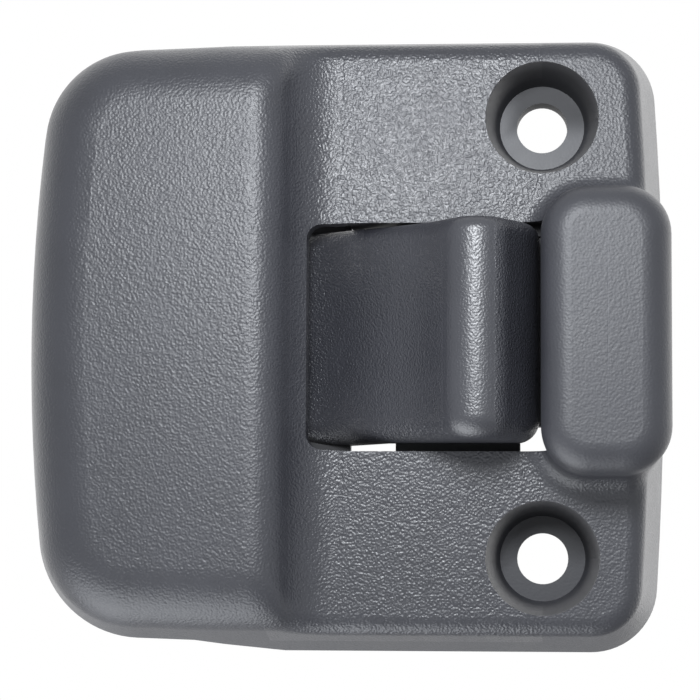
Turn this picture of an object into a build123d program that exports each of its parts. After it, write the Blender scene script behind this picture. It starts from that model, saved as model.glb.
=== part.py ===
"""Sliding window latch: a hollow housing, a rocking lever with a hook, its pin and its spring.

Frame: +X to the right and +Z up as the latch is seen from the room, front towards -Y. The back of
the housing lies on the glass in the plane y = 0. The origin is midway between the two screw holes.
"Height" below always means the distance in front of the glass.
"""
from math import atan, cos, degrees, radians, sin, sqrt
import os

from build123d import *

os.makedirs("parts", exist_ok=True)

# Housing, outside
HOLE_SPACING = 45.0
HOLE_TO_END = 9.7            # from a screw hole's middle to the end of the back outline
HALF_TALL = HOLE_SPACING / 2 + HOLE_TO_END
PLATE_HEIGHT = 10.0          # front of the flat plate in front of the glass
BULGE_RISE = 5.5             # bulge above the plate
WALL_DRAFT = 12.0            # lean of the outer walls, degrees
RIGHT_EDGE = 12.7            # middle of the slightly bowed right side
RIGHT_BOW = 1.3
LEFT_EDGE = -54.55           # middle of the bowed left side
LEFT_BOW = 2.6               # how far the ends of the left side lie behind its middle
NARROWING_START = -33.0      # from here to the left the outline gets narrower
NARROWING = 0.6              # by so much a side
LEFT_CORNER_R = 11.9
RIGHT_CORNER_R = 6.9
PLATE_EDGE_R = 2.0
BULGE_EDGE_R = 6.3
SHOULDER_R = 4.1             # convex turn at the bulge's right side
VALLEY_R = 6.0               # concave turn from there into the plate
SHOULDER_START = -29.6
WALL = 2.4
HOLLOW_EDGE_R = 0.6          # the hollow's edge under the plate
LOFT_END = 0.4               # the shoulder's loft runs past its turns by this at each end
REAR_RELIEF = 5.0            # the rim under the bulge stays clear of the window frame by this
RELIEF_FULL = -36.0
RELIEF_END = -27.0

# Window for the lever
WINDOW_LEFT = -24.0
WINDOW_HALF = 11.7
WINDOW_CORNER_R = 1.6
WINDOW_TAPER = 0.2           # the window's left end is narrower by this a side
GUIDE_RIB = 1.5              # ribs behind the window's upper and lower edges
GUIDE_LEFT = -19.75
GUIDE_RIGHT = 1.2
GUIDE_BACK = 0.5

# Thumb post
POST_LEFT = -0.15
POST_RIGHT = 12.75
POST_HALF = 14.3
POST_RISE = 10.5             # above the plate
POST_CORNER_R = 4.8
POST_FRONT_R = 3.0
POST_BASE_R = 2.4
POST_CORE_R = 2.0
POST_UNDERCUT = 1.15         # its left side draws back by this down to the plate
POST_UNDERCUT_RISE = 5.0

# Screw pockets
HOLE_D = 5.3
POCKET_MOUTH_D = 11.6
POCKET_FLOOR_D = 8.8
POCKET_DEPTH = 6.8
BOSS_D = 15.6

# Ribs in the hollow
RIB = 1.5
RIB_REACH = 29.0             # the bosses' ribs reach this far to the left
BULGE_RIB_X = -39.0
BULGE_RIB_Z = 17.0
BULGE_RIB_LONG = 23.0
BULGE_RIB_LOW = 9.5

# Lever pin and its saddles
PIN_X = -8.7
PIN_HEIGHT = 5.0
PIN_D = 3.0
PIN_LENGTH = 28.0
PIN_FIT = 0.03               # radial, saddle on pin
PIN_END_GAP = 0.15
PIN_CHAMFER = 0.3
SADDLE_LEFT = -15.05
SADDLE_RIGHT = -2.3
HIGH_SADDLE_RIGHT = 1.2      # the upper saddle reaches further, under the post
SADDLE_INNER = 10.6
SADDLE_FRONT = 7.2
SADDLE_BACK = 1.6
SADDLE_END_WALL = 1.4
THROAT = 2.7

# Lever
HUB_FIT = 0.06               # radial, hub on pin
HUB_R = 3.2
HUB_HALF = 10.3
PAD_LOW = -10.85
PAD_HIGH = 11.3
PAD_SKIN = 2.4
PAD_LOW_EDGE_R = 2.4
PAD_HIGH_EDGE_R = 1.6
PAD_LEFT_HEIGHT = 5.4
PAD_LEFT_SLOPE = 15.0
PAD_MIDDLE_POINT = (-17.5, 10.2)
PAD_HIGH_POINT = (-11.8, 15.1)
FLANK_HEIGHT = 10.6          # the right flank stands upright below this
SKIRT_HEIGHT = 8.3           # lower edge of the pad's sides
SKIRT_LEFT = -15.6
SKIRT = 2.2                  # thickness of the pad's sides
CORE_HIGH_POINT = (-10.1, 13.4)
CORE_MIDDLE_POINT = (-16.1, 8.3)
CORE_LOW_POINT = (-22.7, 4.0)
WEB = 2.2
WEB_SHAPE = ((-11.6, 4.2), (-13.6, 11.6), (-9.6, 16.9), (-6.5, 18.6), (-4.2, 16.9), (-2.1, 11.0),
             (-2.1, 8.8), (-5.8, 4.2))
PAD_CORNER_R = 3.0
PAD_HIGH_CORNER_R = 1.7
PAD_HIDDEN_CORNER_R = 6.0    # behind the window's left edge
RIDGE_X = -6.5
RIDGE_CENTRE_HEIGHT = 16.0
RIDGE_R = 3.7
RIDGE_LEFT_TURN = 52.0       # degrees from the top of the ridge to where the pad starts
RIDGE_RIGHT_TURN = 60.0
LEVER_RIGHT = -0.3
LEVER_LEFT = -25.5
FLANGE_RIGHT = -19.9
FLANGE_HALF = 12.7
FLANGE_TOP = 4.6
FLANGE_BOTTOM = 2.9
ARM_HALF = 7.0
ARM_TOP = 7.2
ARM_THICK = 2.5
ARM_LEFT = -47.5
ARM_BEND = -26.5             # from here to the left the arm climbs by ARM_STEP
ARM_STEP = 2.0
ARM_LEVEL = -30.5            # and is level again from here
ARM_LOW = 2.6
HOOK_TIP = 0.6
HOOK_RAMP = 4.0
HOOK_CORNER_R = 1.5
HOOK_THICK = 2.4
TOE_RIGHT = 2.6
TOE_LOW = -9.0
TOE_HIGH = 10.3
TOE_THICK = 2.4
TOE_GAP = 0.05               # toe under the plate at rest

# Return spring
SPRING_X = -34.0
SPRING_D = 5.0
WIRE_D = 0.6
SPRING_TURNS = 5.0
SPRING_RECESS = 0.8
SPRING_ROOM = 0.4            # round the spring in its pocket
SPRING_SEAT_GAP = 0.02
SPIGOT_D = 3.2
CEILING_SPIGOT = 1.8

LEAN = radians(WALL_DRAFT)
CAVITY_HEIGHT = PLATE_HEIGHT - WALL
CEILING = PLATE_HEIGHT + BULGE_RISE - WALL
SWING_COS = 1 - BULGE_RISE / (SHOULDER_R + VALLEY_R)
SLOPE = sqrt(1 - SWING_COS**2)
VALLEY_END = SHOULDER_START + (SHOULDER_R + VALLEY_R) * SLOPE
POCKET_LEAN = degrees(atan((POCKET_MOUTH_D - POCKET_FLOOR_D) / 2 / POCKET_DEPTH))
FAR = 80.0
PAST = 1.0                   # cuts run past the surface they open by this


def section(x, height, edge_r, half_tall):
    """Draws the cross-section at x: two leaning walls, rounded into a flat front."""
    middle_height = height - edge_r
    middle_z = half_tall - (edge_r + middle_height * sin(LEAN)) / cos(LEAN)
    half_turn = (LEAN + radians(90)) / 2
    foot = (0, half_tall)
    low = (-(middle_height + edge_r * sin(LEAN)), middle_z + edge_r * cos(LEAN))
    mid = (-(middle_height + edge_r * sin(half_turn)), middle_z + edge_r * cos(half_turn))
    high = (-height, middle_z)
    with BuildSketch(Plane.YZ.offset(x)) as cut:
        with BuildLine():
            Line((0, -half_tall), foot)
            Line(foot, low)
            ThreePointArc(low, mid, high)
            Line(high, (high[0], -high[1]))
            ThreePointArc((high[0], -high[1]), (mid[0], -mid[1]), (low[0], -low[1]))
            Line((low[0], -low[1]), (0, -half_tall))
        make_face()
    return cut.sketch


def swell(inset):
    """Gives the stations of the shoulder and valley: x, height and a 0 to 1 share of the rise."""
    plate = PLATE_HEIGHT - inset
    bulge = plate + BULGE_RISE
    convex = SHOULDER_R - inset
    concave = VALLEY_R + inset
    stations = [(SHOULDER_START - LOFT_END, bulge)]
    full_turn = degrees(atan(SLOPE / SWING_COS))
    for share in (0.0, 0.22, 0.44, 0.66, 0.88):
        turn = radians(full_turn * share)
        stations.append((SHOULDER_START + convex * sin(turn), bulge - convex * (1 - cos(turn))))
    for share in (0.94, 0.72, 0.5, 0.28, 0.1):
        turn = radians(full_turn * share)
        stations.append((VALLEY_END - concave * sin(turn), plate + concave * (1 - cos(turn))))
    stations.append((VALLEY_END + LOFT_END, plate))
    return [(x, height, (height - plate) / BULGE_RISE) for x, height in stations]


def form(inset, plate_r, bulge_r):
    """Makes the housing's whole form drawn in by `inset`: 0 is its outside, WALL its hollow."""
    half_tall = HALF_TALL - inset / cos(LEAN)
    left_end = LEFT_EDGE + LEFT_BOW
    right_end = RIGHT_EDGE - RIGHT_BOW
    high_end = HALF_TALL - NARROWING
    left_cut = Plane.YZ.offset(SHOULDER_START - LOFT_END)
    right_cut = Plane.YZ.offset(VALLEY_END + LOFT_END)
    with BuildPart() as bulge_end:
        with BuildSketch(Plane.XZ) as back:
            with BuildLine():
                ThreePointArc((right_end, -HALF_TALL), (RIGHT_EDGE, 0), (right_end, HALF_TALL))
                Line((right_end, HALF_TALL), (NARROWING_START, HALF_TALL))
                Line((NARROWING_START, HALF_TALL), (left_end, high_end))
                ThreePointArc((left_end, high_end), (LEFT_EDGE, 0), (left_end, -high_end))
                Line((left_end, -high_end), (NARROWING_START, -HALF_TALL))
                Line((NARROWING_START, -HALF_TALL), (right_end, -HALF_TALL))
            make_face()
            fillet(back.vertices().group_by(Axis.X)[-1], RIGHT_CORNER_R)
            fillet(back.vertices().group_by(Axis.X)[0], LEFT_CORNER_R)
            if inset:
                offset(amount=-inset / cos(LEAN))
        extrude(amount=PLATE_HEIGHT + BULGE_RISE - inset, taper=WALL_DRAFT)
        fillet(bulge_end.faces().sort_by(Axis.Y)[0].edges(), bulge_r)
        split(bisect_by=left_cut, keep=Keep.BOTTOM)
    with BuildPart() as plate_end:
        extrude(back.sketch, amount=PLATE_HEIGHT - inset, taper=WALL_DRAFT)
        if plate_r:
            fillet(plate_end.faces().sort_by(Axis.Y)[0].edges(), plate_r)
        split(bisect_by=right_cut, keep=Keep.TOP)
    with BuildPart() as between:
        cuts = [bulge_end.faces().sort_by(Axis.X)[-1]]
        cuts += [
            section(x, height, plate_r + (bulge_r - plate_r) * share, half_tall).face()
            for x, height, share in swell(inset)[1:-1]
        ]
        cuts += [plate_end.faces().sort_by(Axis.X)[0]]
        loft(cuts)
    with BuildPart() as whole:
        add(bulge_end.part)
        add(plate_end.part)
        add(between.part)
    return whole.part


def at(x, height):
    """Gives a point of a side view: x, and the height in front of the glass."""
    return (x, -height)


POST_WIDTH = POST_RIGHT - POST_LEFT
POST_MIDDLE = (POST_LEFT + POST_RIGHT) / 2
POST_TOP = PLATE_HEIGHT + POST_RISE
CORE_LEFT = POST_LEFT + POST_UNDERCUT + WALL
CORE_RIGHT = POST_RIGHT - WALL
SADDLE_BLIND = PIN_LENGTH / 2 + PIN_END_GAP
SADDLE_OUTER = SADDLE_BLIND + SADDLE_END_WALL
HOLES = [(0, HOLE_SPACING / 2), (0, -HOLE_SPACING / 2)]

# The hollow behind the housing's front, with what stays standing in it left out
with BuildPart() as hollow:
    add(form(WALL, HOLLOW_EDGE_R, BULGE_EDGE_R - WALL))
    with BuildSketch(Plane.XZ):
        with Locations(((CORE_LEFT + CORE_RIGHT) / 2, 0)):
            RectangleRounded(CORE_RIGHT - CORE_LEFT, 2 * (POST_HALF - WALL), POST_CORE_R)
    extrude(amount=POST_TOP - WALL)
    with BuildSketch(Plane.XZ):
        with Locations(*HOLES):
            Circle(BOSS_D / 2)
        with Locations((-RIB_REACH / 2, HOLE_SPACING / 2), (-RIB_REACH / 2, -HOLE_SPACING / 2)):
            Rectangle(RIB_REACH, RIB)
    extrude(amount=CEILING, mode=Mode.SUBTRACT)
    with BuildSketch(Plane.XZ.offset(BULGE_RIB_LOW)):
        with Locations((BULGE_RIB_X, BULGE_RIB_Z), (BULGE_RIB_X, -BULGE_RIB_Z)):
            Rectangle(BULGE_RIB_LONG, RIB)
    extrude(amount=BULGE_RISE, mode=Mode.SUBTRACT)
    with BuildSketch(Plane.XZ.offset(CAVITY_HEIGHT)):
        with Locations((POST_MIDDLE, 0)):
            Rectangle(POST_WIDTH, RIB)
    extrude(amount=POST_RISE, mode=Mode.SUBTRACT)

with BuildPart() as housing:
    add(form(0, PLATE_EDGE_R, BULGE_EDGE_R))
    with BuildSketch(Plane.XZ):
        with Locations((POST_MIDDLE, 0)):
            RectangleRounded(POST_WIDTH, 2 * POST_HALF, POST_CORNER_R)
    extrude(amount=POST_TOP)
    fillet(housing.faces().sort_by(Axis.Y)[0].edges(), POST_FRONT_R)
    post_base = (
        housing.edges()
        .filter_by(lambda e: abs(e.center().Y + PLATE_HEIGHT) < 0.01)
        .filter_by(lambda e: POST_LEFT - 0.01 < e.center().X < POST_RIGHT)
        .filter_by(lambda e: abs(e.center().Z) < POST_HALF + 0.01)
    )
    fillet(post_base, POST_BASE_R)
    add(hollow.part, mode=Mode.SUBTRACT)

    # Screw pockets: a leaning wall down to a flat floor, then the screw's own hole
    with BuildSketch(Plane.XZ.offset(PLATE_HEIGHT - POCKET_DEPTH)):
        with Locations(*HOLES):
            Circle(POCKET_FLOOR_D / 2)
    extrude(amount=POCKET_DEPTH + PAST, taper=-POCKET_LEAN, mode=Mode.SUBTRACT)
    with BuildSketch(Plane.XZ):
        with Locations(*HOLES):
            Circle(HOLE_D / 2)
    extrude(amount=PLATE_HEIGHT, mode=Mode.SUBTRACT)

    # Window for the lever, and the undercut that lets the lever swing beside the post
    with BuildSketch(Plane.XZ) as opening:
        with BuildLine():
            Polyline(
                (WINDOW_LEFT, WINDOW_TAPER - WINDOW_HALF),
                (GUIDE_LEFT, -WINDOW_HALF),
                (POST_LEFT, -WINDOW_HALF),
                (POST_LEFT, WINDOW_HALF),
                (GUIDE_LEFT, WINDOW_HALF),
                (WINDOW_LEFT, WINDOW_HALF - WINDOW_TAPER),
                close=True,
            )
        make_face()
        fillet(opening.vertices().group_by(Axis.X)[0], WINDOW_CORNER_R)
    extrude(amount=POST_TOP, mode=Mode.SUBTRACT)
    with BuildSketch(Plane.XY):
        with BuildLine():
            Polyline(
                at(POST_LEFT, PLATE_HEIGHT + POST_UNDERCUT_RISE),
                at(POST_LEFT + POST_UNDERCUT, PLATE_HEIGHT),
                at(POST_LEFT + POST_UNDERCUT, -PAST),
                at(POST_LEFT - PAST, -PAST),
                at(POST_LEFT - PAST, PLATE_HEIGHT + POST_UNDERCUT_RISE),
                close=True,
            )
        make_face()
    extrude(amount=WINDOW_HALF, both=True, mode=Mode.SUBTRACT)

    # Ribs that carry the window's upper and lower edges on towards the glass
    with BuildSketch(Plane.XZ.offset(GUIDE_BACK)):
        rib_x = (GUIDE_LEFT + GUIDE_RIGHT) / 2
        rib_z = WINDOW_HALF + GUIDE_RIB / 2
        with Locations((rib_x, rib_z), (rib_x, -rib_z)):
            Rectangle(GUIDE_RIGHT - GUIDE_LEFT, GUIDE_RIB)
    extrude(amount=CAVITY_HEIGHT + WALL / 2 - GUIDE_BACK)

    # Saddles for the pin: blocks behind the window's edges, open to the back, blind at the ends
    with BuildSketch(Plane.XZ.offset(SADDLE_BACK)):
        saddle_z = (SADDLE_INNER + SADDLE_OUTER) / 2
        for right_end, z in ((HIGH_SADDLE_RIGHT, saddle_z), (SADDLE_RIGHT, -saddle_z)):
            with Locations(((SADDLE_LEFT + right_end) / 2, z)):
                Rectangle(right_end - SADDLE_LEFT, SADDLE_OUTER - SADDLE_INNER)
    extrude(amount=SADDLE_FRONT - SADDLE_BACK)
    with BuildSketch(Plane.XY):
        with Locations(at(PIN_X, PIN_HEIGHT)):
            Circle(PIN_D / 2 + PIN_FIT)
        with Locations(at(PIN_X, PIN_HEIGHT / 2)):
            Rectangle(THROAT, PIN_HEIGHT)
    extrude(amount=SADDLE_BLIND, both=True, mode=Mode.SUBTRACT)

    # Spigot that holds the spring under the bulge's ceiling
    with BuildSketch(Plane.XZ.offset(CEILING - CEILING_SPIGOT)):
        with Locations((SPRING_X, 0)):
            Circle(SPIGOT_D / 2)
    extrude(amount=CEILING_SPIGOT + WALL / 2)

    # The rim under the bulge is drawn back from the glass to clear the window frame
    with BuildSketch(Plane.XY):
        with BuildLine():
            Polyline(
                at(RELIEF_END, 0),
                at(RELIEF_FULL, REAR_RELIEF),
                at(-FAR, REAR_RELIEF),
                at(-FAR, -PAST),
                at(RELIEF_END, -PAST),
                close=True,
            )
        make_face()
    extrude(amount=FAR, both=True, mode=Mode.SUBTRACT)

housing.part.label = "housing"
export_step(housing.part, "parts/housing.step")


def ridge_point(radius, turn):
    """Gives a point on a round about the ridge's middle, `turn` degrees right of its top."""
    angle = radians(turn)
    return at(RIDGE_X + radius * sin(angle), RIDGE_CENTRE_HEIGHT + radius * cos(angle))


left_turn = radians(RIDGE_LEFT_TURN)
right_turn = radians(RIDGE_RIGHT_TURN)
into_pad = (-cos(left_turn), sin(left_turn))
into_flank = (cos(right_turn), sin(right_turn))

with BuildPart() as lever:
    # Pad, ridge and flank as one block, rounded at its sides and at its right corners
    with BuildSketch(Plane.XY.offset(PAD_LOW)):
        with BuildLine():
            pad_line = Spline(
                ridge_point(RIDGE_R, -RIDGE_LEFT_TURN),
                at(*PAD_HIGH_POINT),
                at(*PAD_MIDDLE_POINT),
                at(LEVER_LEFT, PAD_LEFT_HEIGHT),
                tangents=(into_pad, (-cos(radians(PAD_LEFT_SLOPE)), sin(radians(PAD_LEFT_SLOPE)))),
            )
            ThreePointArc(
                ridge_point(RIDGE_R, -RIDGE_LEFT_TURN),
                ridge_point(RIDGE_R, 0),
                ridge_point(RIDGE_R, RIDGE_RIGHT_TURN),
            )
            Spline(
                ridge_point(RIDGE_R, RIDGE_RIGHT_TURN),
                at(LEVER_RIGHT, FLANK_HEIGHT),
                tangents=(into_flank, (0, 1)),
            )
            Polyline(
                at(LEVER_RIGHT, FLANK_HEIGHT),
                at(LEVER_RIGHT, SKIRT_HEIGHT),
                at(SKIRT_LEFT, SKIRT_HEIGHT),
                at(FLANGE_RIGHT, FLANGE_BOTTOM),
                at(LEVER_LEFT, FLANGE_BOTTOM),
                at(LEVER_LEFT, PAD_LEFT_HEIGHT),
            )
        make_face()
    extrude(amount=PAD_HIGH - PAD_LOW)
    with BuildSketch(Plane.XZ) as pad_front:
        with Locations(((LEVER_LEFT + LEVER_RIGHT) / 2, (PAD_LOW + PAD_HIGH) / 2)):
            Rectangle(LEVER_RIGHT - LEVER_LEFT, PAD_HIGH - PAD_LOW)
        low_corners = pad_front.vertices().group_by(Axis.Z)[0].sort_by(Axis.X)
        high_corner = pad_front.vertices().group_by(Axis.Z)[-1].sort_by(Axis.X)[-1]
        fillet(low_corners[0], PAD_HIDDEN_CORNER_R)
        fillet(low_corners[1], PAD_CORNER_R)
        fillet(high_corner, PAD_HIGH_CORNER_R)
    extrude(amount=FAR, mode=Mode.INTERSECT)
    for side, edge_r in ((PAD_LOW, PAD_LOW_EDGE_R), (PAD_HIGH, PAD_HIGH_EDGE_R)):
        pad_rim = (
            lever.edges()
            .filter_by(GeomType.LINE, reverse=True)
            .filter_by(lambda e: e.center().Y < -SKIRT_HEIGHT - PAST)
            .filter_by(lambda e: abs(e.center().Z - side) < 0.01)
        )
        fillet(pad_rim, edge_r)

    # The block is cored out from behind, which leaves a skin and two side skirts
    with BuildSketch(Plane.XY.offset(PAD_LOW + SKIRT)):
        with BuildLine():
            core_left = ridge_point(RIDGE_R - PAD_SKIN, -RIDGE_LEFT_TURN)
            core_right = ridge_point(RIDGE_R - PAD_SKIN, RIDGE_RIGHT_TURN)
            Spline(
                core_left,
                at(*CORE_HIGH_POINT),
                at(*CORE_MIDDLE_POINT),
                at(*CORE_LOW_POINT),
                tangents=(into_pad, (-cos(radians(PAD_LEFT_SLOPE)), sin(radians(PAD_LEFT_SLOPE)))),
            )
            ThreePointArc(core_left, ridge_point(RIDGE_R - PAD_SKIN, 0), core_right)
            Spline(
                core_right,
                at(LEVER_RIGHT - PAD_SKIN, FLANK_HEIGHT),
                tangents=(into_flank, (0, 1)),
            )
            Polyline(
                at(LEVER_RIGHT - PAD_SKIN, FLANK_HEIGHT),
                at(LEVER_RIGHT - PAD_SKIN, FLANGE_BOTTOM - PAST),
                at(CORE_LOW_POINT[0], FLANGE_BOTTOM - PAST),
                at(*CORE_LOW_POINT),
            )
        make_face()
    extrude(amount=PAD_HIGH - PAD_LOW - 2 * SKIRT, mode=Mode.SUBTRACT)

    # Flange below the pad's left end, wider than the window
    with BuildSketch(Plane.XZ.offset(FLANGE_BOTTOM)):
        with Locations(((LEVER_LEFT + FLANGE_RIGHT) / 2, 0)):
            Rectangle(FLANGE_RIGHT - LEVER_LEFT, 2 * FLANGE_HALF)
    extrude(amount=FLANGE_TOP - FLANGE_BOTTOM)

    # Hub round the pin, and three webs that tie it to the pad
    with BuildSketch(Plane.XY):
        with Locations(at(PIN_X, PIN_HEIGHT)):
            Circle(HUB_R)
    extrude(amount=HUB_HALF, both=True)
    for z in (WEB - HUB_HALF, WEB / 2, HUB_HALF):
        with BuildSketch(Plane.XY.offset(z - WEB)):
            with BuildLine():
                Polyline(*[at(*point) for point in WEB_SHAPE], close=True)
            make_face()
        extrude(amount=WEB)

    # Arm under the bulge with its hook, and the toe that rests under the plate
    with BuildSketch(Plane.XY):
        with BuildLine():
            Polyline(
                at(PIN_X, ARM_TOP - ARM_STEP),
                at(ARM_BEND, ARM_TOP - ARM_STEP),
                at(ARM_LEVEL, ARM_TOP),
                at(ARM_LEFT, ARM_TOP),
                at(ARM_LEFT, HOOK_RAMP),
                at(ARM_LEFT + HOOK_THICK / 2, HOOK_TIP),
                at(ARM_LEFT + HOOK_THICK, HOOK_TIP),
                at(ARM_LEFT + HOOK_THICK, ARM_TOP - ARM_THICK),
                at(ARM_LEVEL, ARM_TOP - ARM_THICK),
                at(ARM_BEND, ARM_LOW),
                at(PIN_X, ARM_LOW),
                close=True,
            )
        make_face()
    extrude(amount=ARM_HALF, both=True)
    with BuildSketch(Plane.XY.offset(TOE_LOW)):
        with BuildLine():
            Polyline(
                at(PIN_X, CAVITY_HEIGHT - TOE_GAP),
                at(TOE_RIGHT, CAVITY_HEIGHT - TOE_GAP),
                at(TOE_RIGHT, CAVITY_HEIGHT - TOE_GAP - TOE_THICK),
                at(PIN_X + HUB_R, ARM_LOW),
                at(PIN_X, ARM_LOW),
                close=True,
            )
        make_face()
    extrude(amount=TOE_HIGH - TOE_LOW)
    hook_corners = (
        lever.edges()
        .filter_by(Axis.Y)
        .filter_by(lambda e: e.center().X < ARM_LEFT + 0.1)
    )
    fillet(hook_corners, HOOK_CORNER_R)

    # Bore for the pin
    with BuildSketch(Plane.XY):
        with Locations(at(PIN_X, PIN_HEIGHT)):
            Circle(PIN_D / 2 + HUB_FIT)
    extrude(amount=HUB_HALF + PAST, both=True, mode=Mode.SUBTRACT)

    # Seat for the spring: a round pocket with a spigot in its middle
    with BuildSketch(Plane.XZ.offset(ARM_TOP - SPRING_RECESS)):
        with Locations((SPRING_X, 0)):
            Circle(SPRING_D / 2 + SPRING_ROOM)
            Circle(SPIGOT_D / 2, mode=Mode.SUBTRACT)
    extrude(amount=ARM_TOP, mode=Mode.SUBTRACT)

lever.part.label = "lever"
export_step(lever.part, "parts/lever.step")

with BuildPart() as pivot_pin:
    with BuildSketch(Plane.XY):
        with Locations(at(PIN_X, PIN_HEIGHT)):
            Circle(PIN_D / 2)
    extrude(amount=PIN_LENGTH / 2, both=True)
    chamfer(pivot_pin.edges().filter_by(GeomType.CIRCLE), PIN_CHAMFER)

pivot_pin.part.label = "pivot_pin"
export_step(pivot_pin.part, "parts/pivot_pin.step")

SPRING_LOW = ARM_TOP - SPRING_RECESS + SPRING_SEAT_GAP
SPRING_HIGH = CEILING - SPRING_SEAT_GAP
COIL_HEIGHT = SPRING_HIGH - SPRING_LOW - WIRE_D / 3

# Return spring: a round wire wound about an axis square to the glass, its ends ground flat
with BuildPart() as return_spring:
    with BuildLine() as coil:
        Helix(
            pitch=COIL_HEIGHT / SPRING_TURNS,
            height=COIL_HEIGHT,
            radius=(SPRING_D - WIRE_D) / 2,
            center=(SPRING_X, -(SPRING_LOW + WIRE_D / 6), 0),
            direction=(0, -1, 0),
        )
    with BuildSketch(Plane(origin=coil.line @ 0, z_dir=coil.line % 0)):
        Circle(WIRE_D / 2)
    sweep(is_frenet=True)
    split(bisect_by=Plane.XZ.offset(SPRING_LOW), keep=Keep.TOP)
    split(bisect_by=Plane.XZ.offset(SPRING_HIGH), keep=Keep.BOTTOM)

return_spring.part.label = "return_spring"
export_step(return_spring.part, "parts/return_spring.step")
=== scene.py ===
"""Dresses the sliding window latch: grained grey plastic, the light and the camera.

All lengths are in metres in the latch's own frame: +X to the right and +Z up as seen from the room,
the front towards -Y, and the back of the housing in the plane y = 0.
"""
from __future__ import annotations

import logging
from dataclasses import dataclass
from enum import Enum
from itertools import product
from math import pi, radians, sqrt

import bmesh
import bpy
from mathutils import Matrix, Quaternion, Vector
from mathutils.bvhtree import BVHTree


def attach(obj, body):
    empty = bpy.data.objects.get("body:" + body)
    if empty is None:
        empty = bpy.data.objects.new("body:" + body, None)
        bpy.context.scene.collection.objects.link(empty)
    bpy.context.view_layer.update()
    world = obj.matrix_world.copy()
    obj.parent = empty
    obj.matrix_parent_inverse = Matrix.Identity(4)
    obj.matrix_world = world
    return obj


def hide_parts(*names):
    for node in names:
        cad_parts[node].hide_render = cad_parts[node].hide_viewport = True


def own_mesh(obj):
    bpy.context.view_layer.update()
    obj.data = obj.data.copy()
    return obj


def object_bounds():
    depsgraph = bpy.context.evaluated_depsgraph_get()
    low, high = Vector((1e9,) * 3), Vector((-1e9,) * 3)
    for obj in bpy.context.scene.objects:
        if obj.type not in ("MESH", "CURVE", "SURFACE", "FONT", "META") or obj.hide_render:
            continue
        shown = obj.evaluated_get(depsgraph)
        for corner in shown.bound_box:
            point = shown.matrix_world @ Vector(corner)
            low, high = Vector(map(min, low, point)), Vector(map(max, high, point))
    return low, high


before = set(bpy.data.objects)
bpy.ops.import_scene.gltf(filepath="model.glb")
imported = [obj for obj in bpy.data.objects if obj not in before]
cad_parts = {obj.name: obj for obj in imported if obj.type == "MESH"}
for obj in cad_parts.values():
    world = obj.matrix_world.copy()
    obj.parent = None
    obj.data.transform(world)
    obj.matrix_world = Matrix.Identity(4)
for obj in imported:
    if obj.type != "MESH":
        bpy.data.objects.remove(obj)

CAD_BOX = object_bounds()
LOG = logging.getLogger("latch")
MM = 0.001

Colour = tuple[float, float, float]
Point = tuple[float, float, float]


class Grain(Enum):
    """The mould textures found on the latch."""

    PEBBLED = "pebbled"
    WORN = "worn"


@dataclass(frozen=True)
class GrainCut:
    """How one mould texture is cut.

    cell is the width of a pebble, depth its height, and crease the share of the narrow folds.
    """

    cell: float
    depth: float
    crease: float


GRAINS: dict[Grain, GrainCut] = {
    Grain.PEBBLED: GrainCut(cell=0.24 * MM, depth=0.054 * MM, crease=0.06),
    Grain.WORN: GrainCut(cell=0.21 * MM, depth=0.072 * MM, crease=0.06),
}


@dataclass(frozen=True)
class Zone:
    """A box in which a moulding looks different, such as an ungrained inner face, or one with painted
    shade.

    grain and tone are shares of what the finish has elsewhere, dull is added to its roughness, and
    soft is how far the change spreads to each side of the box's faces. A tone above 1 only takes out
    the finish's own mottling, and lightens no further. A tone below 1 darkens the colour as painted shade.
    """

    centre: Point
    half: Point
    grain: float
    tone: float = 1.0
    dull: float = 0.0
    soft: float = 0.1 * MM


@dataclass(frozen=True)
class NylonFinish:
    """Glass-filled nylon as moulded: its colour, its sheen and the grain on its face."""

    name: str
    colour: Colour
    roughness: float
    grain: Grain
    specular: float
    zones: tuple[Zone, ...]


@dataclass(frozen=True)
class WireFinish:
    """Bare drawn steel."""

    name: str
    colour: Colour
    roughness: float


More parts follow.
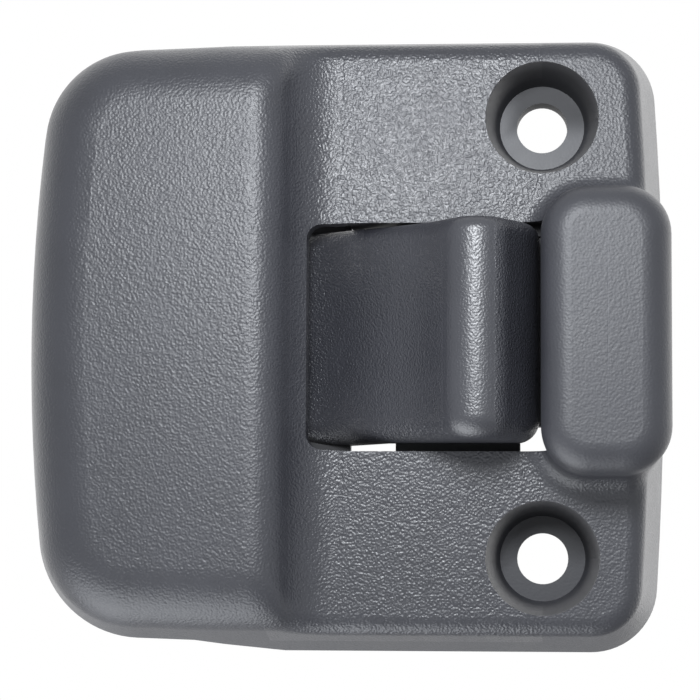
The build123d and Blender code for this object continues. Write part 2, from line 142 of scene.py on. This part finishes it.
class NodeSheet:
    """A node tree with short ways to add and join nodes."""

    def __init__(self, tree: bpy.types.NodeTree) -> None:
        """Starts an empty sheet.

        Args:
            tree: The node tree of a material, a group or a world.
        """
        self.tree = tree
        self.tree.nodes.clear()

    def add(self, kind: str, values: dict[str, object] | None = None, **settings: object) -> bpy.types.Node:
        """Adds a node.

        Args:
            kind: Blender's name for the node type, without its ShaderNode prefix.
            values: Values for input sockets, by name or by number.
            settings: Properties of the node itself.

        Returns:
            The new node.
        """
        prefix = "" if kind.startswith("NodeGroup") else "ShaderNode"
        node = self.tree.nodes.new(prefix + kind)
        for name, value in settings.items():
            setattr(node, name, value)
        for name, value in (values or {}).items():
            node.inputs[name].default_value = value
        return node

    def join(self, source: bpy.types.NodeSocket, target: bpy.types.NodeSocket) -> None:
        """Links an output socket to an input socket."""
        self.tree.links.new(source, target)

    def math(
        self, operation: str, first: object, second: object = 0.0, third: object = 0.0
    ) -> bpy.types.NodeSocket:
        """Adds a maths node.

        Args:
            operation: Blender's name for the operation.
            first: A socket or a number.
            second: A socket or a number.
            third: A socket or a number, for the operations that take three.

        Returns:
            The node's output socket.
        """
        node = self.tree.nodes.new("ShaderNodeMath")
        node.operation = operation
        for place, value in enumerate((first, second, third)):
            if isinstance(value, bpy.types.NodeSocket):
                self.join(value, node.inputs[place])
            else:
                node.inputs[place].default_value = value
        return node.outputs[0]

    def blend(self, share: object, first: object, second: object) -> bpy.types.NodeSocket:
        """Goes from one value to another.

        Args:
            share: A socket that is 0 at the first value and 1 at the second.
            first: A socket or a number.
            second: A socket or a number.

        Returns:
            The blended value's socket.
        """
        node = self.tree.nodes.new("ShaderNodeMix")
        node.data_type = "FLOAT"
        for place, value in enumerate((share, first, second)):
            socket = node.inputs[(0, 2, 3)[place]]
            if isinstance(value, bpy.types.NodeSocket):
                self.join(value, socket)
            else:
                socket.default_value = value
        return node.outputs[0]

    def ramp(self, value: bpy.types.NodeSocket, low: float, high: float) -> bpy.types.NodeSocket:
        """Maps a value from low to high onto 0 to 1, with eased ends.

        Args:
            value: The socket to map.
            low: The value that gives 0.
            high: The value that gives 1.

        Returns:
            The mapped value's socket.
        """
        node = self.tree.nodes.new("ShaderNodeMapRange")
        node.interpolation_type = "SMOOTHSTEP"
        node.inputs["From Min"].default_value = low
        node.inputs["From Max"].default_value = high
        self.join(value, node.inputs["Value"])
        return node.outputs["Result"]


FOLD_FINER = 1.35           # the folds' scale against the pebbles'
FOLD_BEND = 0.9
FOLD_WIDTH = 0.09
MOTTLE_SCALE = 160.0
MOTTLE_SHADE = 0.12
MOTTLE_SHINE = 0.03


def mould_grain_group() -> bpy.types.NodeTree:
    """Makes the shared mould grain: pebbles parted by narrow folds, as a height.

    Returns:
        A node group with the inputs Position, Cell and Crease and the outputs Height and Blotch.
    """
    name = "mould grain"
    if name in bpy.data.node_groups:
        return bpy.data.node_groups[name]
    group = bpy.data.node_groups.new(name, "ShaderNodeTree")
    face = group.interface
    face.new_socket("Position", in_out="INPUT", socket_type="NodeSocketVector")
    face.new_socket("Cell", in_out="INPUT", socket_type="NodeSocketFloat")
    face.new_socket("Crease", in_out="INPUT", socket_type="NodeSocketFloat")
    face.new_socket("Height", in_out="OUTPUT", socket_type="NodeSocketFloat")
    face.new_socket("Blotch", in_out="OUTPUT", socket_type="NodeSocketFloat")
    sheet = NodeSheet(group)
    given = sheet.add("NodeGroupInput")
    out = sheet.add("NodeGroupOutput")
    scale = sheet.math("DIVIDE", 1.0, given.outputs["Cell"])
    swell = sheet.add("TexNoise", {"Detail": 0.0, "Distortion": 0.0})
    fold = sheet.add("TexNoise", {"Detail": 0.0, "Distortion": FOLD_BEND})
    for noise, finer in ((swell, 1.0), (fold, FOLD_FINER)):
        sheet.join(given.outputs["Position"], noise.inputs["Vector"])
        sheet.join(sheet.math("MULTIPLY", scale, finer), noise.inputs["Scale"])
    middle = sheet.math("ABSOLUTE", sheet.math("SUBTRACT", fold.outputs["Fac"], 0.5))
    flat = sheet.ramp(middle, 0.0, FOLD_WIDTH)
    wrinkle = sheet.math("MULTIPLY", flat, given.outputs["Crease"])
    sheet.join(sheet.math("ADD", swell.outputs["Fac"], wrinkle), out.inputs["Height"])

    blotch = sheet.add("TexNoise", {"Scale": MOTTLE_SCALE, "Detail": 3.0, "Roughness": 0.6})
    sheet.join(given.outputs["Position"], blotch.inputs["Vector"])
    sheet.join(sheet.ramp(blotch.outputs["Fac"], 0.3, 0.7), out.inputs["Blotch"])
    return group


def box_mask_group() -> bpy.types.NodeTree:
    """Makes the shared mask of a box with soft faces.

    Returns:
        A node group with the inputs Position, Centre, Half and Soft and the output Mask.
    """
    name = "box mask"
    if name in bpy.data.node_groups:
        return bpy.data.node_groups[name]
    group = bpy.data.node_groups.new(name, "ShaderNodeTree")
    for socket in ("Position", "Centre", "Half"):
        group.interface.new_socket(socket, in_out="INPUT", socket_type="NodeSocketVector")
    group.interface.new_socket("Soft", in_out="INPUT", socket_type="NodeSocketFloat")
    group.interface.new_socket("Mask", in_out="OUTPUT", socket_type="NodeSocketFloat")
    sheet = NodeSheet(group)
    given = sheet.add("NodeGroupInput")
    out = sheet.add("NodeGroupOutput")
    offset = sheet.add("VectorMath", operation="SUBTRACT")
    sheet.join(given.outputs["Position"], offset.inputs[0])
    sheet.join(given.outputs["Centre"], offset.inputs[1])
    reach = sheet.add("VectorMath", operation="ABSOLUTE")
    sheet.join(offset.outputs[0], reach.inputs[0])
    beyond = sheet.add("VectorMath", operation="SUBTRACT")
    sheet.join(reach.outputs[0], beyond.inputs[0])
    sheet.join(given.outputs["Half"], beyond.inputs[1])
    split = sheet.add("SeparateXYZ")
    sheet.join(beyond.outputs[0], split.inputs[0])
    farthest = sheet.math("MAXIMUM", split.outputs["Y"], split.outputs["Z"])
    farthest = sheet.math("MAXIMUM", split.outputs["X"], farthest)
    share = sheet.math("DIVIDE", farthest, given.outputs["Soft"])
    sheet.join(sheet.ramp(share, 1.0, -1.0), out.inputs["Mask"])
    return group


class MouldedNylon:
    """Builds the material of one nylon moulding from its finish."""

    def __init__(self, finish: NylonFinish) -> None:
        """Keeps the finish.

        Args:
            finish: What the moulding looks like.
        """
        self.finish = finish

    def build(self) -> bpy.types.Material:
        """Makes the material.

        Returns:
            The grained nylon, on Object coordinates.
        """
        finish = self.finish
        cut = GRAINS[finish.grain]
        material = bpy.data.materials.new(finish.name)
        material.use_nodes = True
        sheet = NodeSheet(material.node_tree)
        out = sheet.add("OutputMaterial")
        shader = sheet.add("BsdfPrincipled", {"Specular IOR Level": finish.specular})
        sheet.join(shader.outputs["BSDF"], out.inputs["Surface"])
        where = sheet.add("TexCoord")
        grain = sheet.add("Group", node_tree=mould_grain_group())
        grain.inputs["Cell"].default_value = cut.cell
        grain.inputs["Crease"].default_value = cut.crease
        sheet.join(where.outputs["Object"], grain.inputs["Position"])
        rise, shade, shine = grain.outputs["Height"], 1.0, finish.roughness
        for zone in finish.zones:
            mask = sheet.add("Group", node_tree=box_mask_group())
            for socket, value in (("Centre", zone.centre), ("Half", zone.half), ("Soft", zone.soft)):
                mask.inputs[socket].default_value = value
            sheet.join(where.outputs["Object"], mask.inputs["Position"])
            inside = mask.outputs["Mask"]
            rise = sheet.math("MULTIPLY", rise, sheet.blend(inside, 1.0, zone.grain))
            # A zone's tone below 1 darkens the colour there as painted shade.
            shade = sheet.math("MULTIPLY", shade, sheet.blend(inside, 1.0, zone.tone))
            shine = sheet.math("MULTIPLY_ADD", inside, zone.dull, shine)
        bump = sheet.add("Bump", {"Strength": 1.0, "Distance": cut.depth})
        sheet.join(rise, bump.inputs["Height"])
        sheet.join(bump.outputs["Normal"], shader.inputs["Normal"])
        tone = sheet.add("Mix", {7: (*finish.colour, 1.0)}, data_type="RGBA")
        tone.inputs[6].default_value = (0.0, 0.0, 0.0, 1.0)
        cloud = sheet.math("MULTIPLY_ADD", grain.outputs["Blotch"], MOTTLE_SHADE, 1.0 - MOTTLE_SHADE)
        sheet.join(sheet.math("MULTIPLY", shade, cloud), tone.inputs[0])
        sheet.join(tone.outputs[2], shader.inputs["Base Color"])
        shine = sheet.math("MULTIPLY_ADD", grain.outputs["Blotch"], MOTTLE_SHINE, shine)
        sheet.join(shine, shader.inputs["Roughness"])
        return material


class DrawnSteel:
    """Builds the material of the pin and the spring."""

    def __init__(self, finish: WireFinish) -> None:
        """Keeps the finish.

        Args:
            finish: What the steel looks like.
        """
        self.finish = finish

    def build(self) -> bpy.types.Material:
        """Makes the material.

        Returns:
            Bare steel with faint drawing marks, on Object coordinates.
        """
        material = bpy.data.materials.new(self.finish.name)
        material.use_nodes = True
        sheet = NodeSheet(material.node_tree)
        out = sheet.add("OutputMaterial")
        shader = sheet.add("BsdfPrincipled", {"Metallic": 1.0, "Base Color": (*self.finish.colour, 1.0)})
        sheet.join(shader.outputs["BSDF"], out.inputs["Surface"])
        where = sheet.add("TexCoord")
        marks = sheet.add("TexNoise", {"Scale": 2500.0, "Detail": 2.0})
        sheet.join(where.outputs["Object"], marks.inputs["Vector"])
        shine = sheet.math("MULTIPLY_ADD", marks.outputs["Fac"], 0.2, self.finish.roughness - 0.1)
        sheet.join(shine, shader.inputs["Roughness"])
        return material


POCKET_HEIGHTS = (22.5 * MM, -22.5 * MM)
# The screw pockets are smoother and duller, and their colour is a little darker as painted shade in the
# recesses.
POCKET_FINISH_AND_SHADE = tuple(
    Zone((0.0, -5.0 * MM, z), (6.3 * MM, 4.7 * MM, 6.3 * MM), grain=0.15, tone=0.9, dull=0.08)
    for z in POCKET_HEIGHTS
)
# The post's grain is softer and its face duller, and its colour is a little darker as painted shade that
# tames the highlight on it.
POST_FINISH_AND_SHADE = Zone(
    (6.3 * MM, -16.0 * MM, 0.0), (6.8 * MM, 5.2 * MM, 14.6 * MM), grain=0.45, tone=0.95, dull=0.07
)
WELD_LINE = Zone(
    (6.4 * MM, -20.4 * MM, 2.0 * MM), (0.03 * MM, 1.5 * MM, 11.0 * MM), grain=0.6, tone=1.7, soft=0.06 * MM
)
PLATE = Zone((-14.0 * MM, -9.0 * MM, 0.0), (14.0 * MM, 3.5 * MM, 34.0 * MM), grain=1.4, dull=-0.075)
RIDGE = Zone((-7.3 * MM, -14.0 * MM, 0.0), (2.6 * MM, 8.0 * MM, 13.5 * MM), grain=0.55)
FLANK = Zone((-2.6 * MM, -12.0 * MM, 0.0), (2.0 * MM, 9.0 * MM, 13.5 * MM), grain=1.4)

# Shade painted to follow the photograph, and no difference in the plastic.
POCKET_SHADES = tuple(
    Zone(
        (1.8 * MM, -4.5 * MM, z + 3.4 * MM), (5.0 * MM, 4.0 * MM, 3.4 * MM),
        grain=1.0, tone=0.5, dull=0.15, soft=1.5 * MM,
    )
    for z in POCKET_HEIGHTS
)
# Painted shade: the inner ribs in the window are darkened as though in shadow, and their faces are also
# ungrained and duller.
INNER_RIB_SHADE = Zone(
    (-9.3 * MM, -7.0 * MM, 0.0), (10.7 * MM, 2.2 * MM, 13.4 * MM), grain=0.1, tone=0.3, dull=0.4
)
# Painted shade: the lever's flange behind the window's edge is darkened as though in shadow, and is
# ungrained and duller.
HIDDEN_FLANGE_SHADE = Zone(
    (-22.7 * MM, -4.7 * MM, 0.0), (3.2 * MM, 0.5 * MM, 13.0 * MM), grain=0.1, tone=0.3, dull=0.4
)
# Painted shade: the lever's toe in the crevice by the post is darkened as though in shadow, and is
# ungrained and duller.
TOE_SHADE = Zone((0.0, -7.0 * MM, 0.0), (1.2 * MM, 1.2 * MM, 14.0 * MM), grain=0.1, tone=0.3, dull=0.4)

NYLON_GREY: Colour = (0.033, 0.034, 0.042)
HOUSING_FINISH = NylonFinish(
    "housing nylon", NYLON_GREY, 0.405, Grain.PEBBLED, 0.8,
    (*POCKET_FINISH_AND_SHADE, *POCKET_SHADES, POST_FINISH_AND_SHADE, WELD_LINE, PLATE, INNER_RIB_SHADE),
)
LEVER_FINISH = NylonFinish(
    "lever nylon", NYLON_GREY, 0.352, Grain.WORN, 1.0, (HIDDEN_FLANGE_SHADE, TOE_SHADE, RIDGE, FLANK)
)


@dataclass
class Moulding:
    """One of the latch's plastic mouldings."""

    node: str
    finish: NylonFinish

    def dress(self) -> bpy.types.Object:
        """Puts the finish on the moulding.

        Returns:
            The dressed object.
        """
        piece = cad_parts[self.node]
        piece.data.materials.clear()
        piece.data.materials.append(MouldedNylon(self.finish).build())
        return piece


@dataclass
class PadCorner:
    """The pad's upper left corner, filled out to the square it has behind the window's edge.

    Its face follows the pad's and lies just proud of it.
    """

    left: float = -25.45 * MM
    top: float = 11.31 * MM
    back: float = -4.7 * MM
    reach: float = 7.2 * MM
    edge_r: float = 1.6 * MM
    corner_r: float = 1.7 * MM
    proud: float = 0.01 * MM
    cells: int = 36

    def place(self, column: int, row: int) -> tuple[float, float, float]:
        """Finds one point of the corner's outline grid.

        Args:
            column: The point's column, from the left.
            row: The point's row, from the top.

        Returns:
            How far the point is from the left edge, from the top edge and inside the outline.
        """
        across, down = ((step / self.cells) ** 1.5 * self.reach for step in (column, row))
        turn = Vector((max(self.corner_r - across, 0.0), max(self.corner_r - down, 0.0)))
        if turn.x == 0.0 or turn.y == 0.0:
            return across, down, min(across, down)
        if turn.length > self.corner_r:
            turn *= self.corner_r / turn.length
        return self.corner_r - turn.x, self.corner_r - turn.y, self.corner_r - turn.length

    def build(self, lever: bpy.types.Object) -> bpy.types.Object:
        """Builds the corner as a closed piece that rides with the lever.

        Args:
            lever: The dressed lever, whose face the corner continues.

        Returns:
            The corner.
        """
        tree = BVHTree.FromObject(lever, bpy.context.evaluated_depsgraph_get())
        mesh = bmesh.new()
        front: dict[tuple[int, int], bmesh.types.BMVert] = {}
        behind: dict[tuple[int, int], bmesh.types.BMVert] = {}
        steps = range(self.cells + 1)
        for column, row in product(steps, steps):
            across, down, inside = self.place(column, row)
            x, z = self.left + across, self.top - down
            face = tree.ray_cast(Vector((x, -0.05, 0.0)), Vector((0.0, 1.0, 0.0)))[0].y
            lean = max(self.edge_r - inside, 0.0)
            fall = self.edge_r - sqrt(max(self.edge_r**2 - lean**2, 0.0))
            y = min(face - self.proud + fall, self.back - self.proud)
            front[column, row] = mesh.verts.new((x, y, z))
            behind[column, row] = mesh.verts.new((x, self.back, z))
        for layer in (front, behind):
            for column, row in product(steps[:-1], steps[:-1]):
                ring = ((column, row), (column, row + 1), (column + 1, row + 1), (column + 1, row))
                mesh.faces.new([layer[point] for point in ring])
        last = self.cells
        for step in steps[:-1]:
            for start, end in (
                ((step, 0), (step + 1, 0)), ((last, step), (last, step + 1)),
                ((step, last), (step + 1, last)), ((0, step), (0, step + 1)),
            ):
                mesh.faces.new((front[start], front[end], behind[end], behind[start]))
        bmesh.ops.remove_doubles(mesh, verts=mesh.verts[:], dist=0.001 * MM)
        bmesh.ops.recalc_face_normals(mesh, faces=mesh.faces[:])
        data = bpy.data.meshes.new("pad_corner")
        mesh.to_mesh(data)
        mesh.free()
        data.polygons.foreach_set("use_smooth", [True] * len(data.polygons))
        data.set_sharp_from_angle(angle=radians(40.0))
        data.materials.append(lever.data.materials[0])
        piece = bpy.data.objects.new("pad_corner", data)
        bpy.context.scene.collection.objects.link(piece)
        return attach(piece, "rocker")


@dataclass
class Hardware:
    """The steel pin and spring inside."""

    nodes: tuple[str, ...] = ("pivot_pin", "return_spring")
    finish: WireFinish = WireFinish("drawn steel", (0.55, 0.54, 0.52), 0.35)

    def dress(self) -> None:
        """Puts bare steel on each of them."""
        steel = DrawnSteel(self.finish).build()
        for node in self.nodes:
            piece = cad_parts[node]
            piece.data.materials.clear()
            piece.data.materials.append(steel)


@dataclass
class ReturnSpring:
    """The return spring's wire, which shortens between the bulge's ceiling and the rocking arm."""

    node: str = "return_spring"
    joint: str = "lever_rock"
    press: float = 4.1 * MM

    def build(self) -> bpy.types.Object:
        """Puts a copy of the spring in the place of the stiff node, which is hidden.

        Returns:
            The spring.
        """
        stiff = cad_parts[self.node]
        wire = bpy.data.objects.new("return_spring_wire", stiff.data.copy())
        bpy.context.scene.collection.objects.link(wire)
        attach(wire, "body")
        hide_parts(self.node)
        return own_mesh(wire)


@dataclass(frozen=True)
class SoftLamp:
    """A round soft lamp: where it hangs, what it faces, its radius and how bright its face is."""

    name: str
    place: Point
    target: Point
    radius: float
    brightness: float
    tint: Colour = (0.93, 0.96, 1.0)

    def hang(self) -> bpy.types.Object:
        """Hangs the lamp, out of the camera's sight.

        Returns:
            The lamp.
        """
        light = bpy.data.lights.new(self.name, "AREA")
        light.shape = "DISK"
        light.size = 2 * self.radius
        light.energy = self.brightness * (pi * self.radius) ** 2
        light.color = self.tint
        holder = bpy.data.objects.new(self.name, light)
        holder.location = self.place
        facing = Vector(self.target) - Vector(self.place)
        holder.rotation_euler = facing.to_track_quat("-Z", "Y").to_euler()
        holder.visible_camera = False
        bpy.context.scene.collection.objects.link(holder)
        return holder


@dataclass(frozen=True)
class Surround:
    """How bright the set is on each side of the latch, where 1 is white."""

    front: float
    back: float
    left: float
    right: float
    low: float


@dataclass
class Studio:
    """A white set behind the latch, a dim room in front, a near lamp above and a white card below."""

    floor_drop: float = 0.25
    floor_size: float = 0.8
    lamps: tuple[SoftLamp, ...] = (
        SoftLamp("key", (-0.0165, -0.123, 0.038), (-0.030, -0.012, 0.0), 0.020, 36.0),
        SoftLamp("card", (-0.09, -0.03, -0.16), (-0.02, -0.01, 0.0), 0.10, 3.0),
    )
    tint: Colour = (0.94, 0.965, 1.0)
    fill: Surround = Surround(front=0.60, back=0.3, left=0.30, right=0.3, low=0.3)
    mirrored: Surround = Surround(front=0.80, back=1.6, left=0.75, right=2.2, low=0.9)

    def world(self) -> None:
        """Makes the world white to the camera, and sets its strength for each side of the latch."""
        world = bpy.data.worlds.new("white set")
        bpy.context.scene.world = world
        world.use_nodes = True
        sheet = NodeSheet(world.node_tree)
        out = sheet.add("OutputWorld")
        where = sheet.add("TexCoord")
        split = sheet.add("SeparateXYZ")
        sheet.join(where.outputs["Generated"], split.inputs[0])
        across, along, up = (split.outputs[axis] for axis in "XYZ")
        behind = sheet.ramp(along, 0.0, 0.6)
        lit = sheet.math("SUBTRACT", 1.0, sheet.ramp(along, 0.94, 0.985))
        leftward = sheet.ramp(across, 0.2, -0.7)
        rightward = sheet.ramp(across, 0.1, 0.4)
        downward = sheet.ramp(up, -0.1, -0.4)
        lights = []
        for surround in (self.fill, self.mirrored):
            room = sheet.blend(leftward, surround.front, surround.left)
            wall = sheet.blend(rightward, surround.back, surround.right)
            wall = sheet.blend(downward, wall, surround.low)
            lights.append(sheet.math("MULTIPLY", sheet.blend(behind, room, wall), lit))
        ray = sheet.add("LightPath")
        shown = sheet.blend(ray.outputs["Is Glossy Ray"], *lights)
        seen = sheet.math("MAXIMUM", ray.outputs["Is Camera Ray"], ray.outputs["Is Transmission Ray"])
        strength = sheet.math("MAXIMUM", seen, shown)
        tint = sheet.add("Mix", {6: (*self.tint, 1.0), 7: (1.0, 1.0, 1.0, 1.0)}, data_type="RGBA")
        sheet.join(sheet.math("MAXIMUM", seen, behind), tint.inputs[0])
        paint = sheet.add("Background")
        sheet.join(tint.outputs[2], paint.inputs["Color"])
        sheet.join(strength, paint.inputs["Strength"])
        sheet.join(paint.outputs[0], out.inputs["Surface"])

    def floor(self) -> bpy.types.Object:
        """Lays the pale floor below the latch.

        Returns:
            The floor.
        """
        low = CAD_BOX[0][2] - self.floor_drop
        bpy.ops.mesh.primitive_plane_add(size=self.floor_size, location=(0.0, 0.0, low))
        plane = bpy.context.active_object
        plane.name = "floor"
        material = bpy.data.materials.new("pale floor")
        material.use_nodes = True
        sheet = NodeSheet(material.node_tree)
        out = sheet.add("OutputMaterial")
        paint = sheet.add("BsdfPrincipled", {"Base Color": (0.8, 0.8, 0.8, 1.0), "Roughness": 0.9})
        sheet.join(paint.outputs[0], out.inputs["Surface"])
        plane.data.materials.append(material)
        return plane

    def build(self) -> None:
        """Sets up the world, the floor and the lamps."""
        self.world()
        for lamp in self.lamps:
            lamp.hang()
        self.floor()


@dataclass
class PhotoCamera:
    """The photograph's camera, set by the point of the plate straight in front of it."""

    plate_y: float = -0.010
    foot: tuple[float, float] = (0.2 * MM, -23.7 * MM)
    distance: float = 269.5 * MM
    focal_pixels: float = 2655.0
    frame_pixels: float = 700.0
    foot_pixel: tuple[float, float] = (545.0, 570.0)
    roll: float = 0.25

    def build(self) -> bpy.types.Object:
        """Places the camera.

        Returns:
            The scene's camera.
        """
        data = bpy.data.cameras.new("photo camera")
        data.sensor_width = 36.0
        data.lens = 36.0 * self.focal_pixels / self.frame_pixels
        data.clip_start = 0.01
        data.clip_end = 10.0
        holder = bpy.data.objects.new("photo camera", data)
        middle = self.frame_pixels / 2
        across = (middle - self.foot_pixel[0]) / self.focal_pixels
        up = (self.foot_pixel[1] - middle) / self.focal_pixels
        holder.location = (self.foot[0], self.plate_y - self.distance, self.foot[1])
        facing = Vector((across, 1.0, up)).to_track_quat("-Z", "Y")
        holder.rotation_euler = (facing @ Quaternion((0.0, 0.0, 1.0), radians(self.roll))).to_euler()
        bpy.context.scene.collection.objects.link(holder)
        bpy.context.scene.camera = holder
        return holder


def main() -> None:
    """Builds the pieces in order and reports each."""
    logging.basicConfig(level=logging.INFO, format="%(name)s: %(message)s")
    bpy.context.scene.view_settings.view_transform = "Standard"
    housing = Moulding("housing", HOUSING_FINISH)
    lever = Moulding("lever", LEVER_FINISH)
    for moulding in (housing, lever):
        moulding.dress()
        LOG.info("dressed %s", moulding.node)
    PadCorner().build(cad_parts[lever.node])
    LOG.info("filled out the pad's corner")
    Hardware().dress()
    ReturnSpring().build()
    LOG.info("dressed the pin and the spring")
    Studio().build()
    PhotoCamera().build()
    LOG.info("lit and framed")


if __name__ == "__main__":
    main()
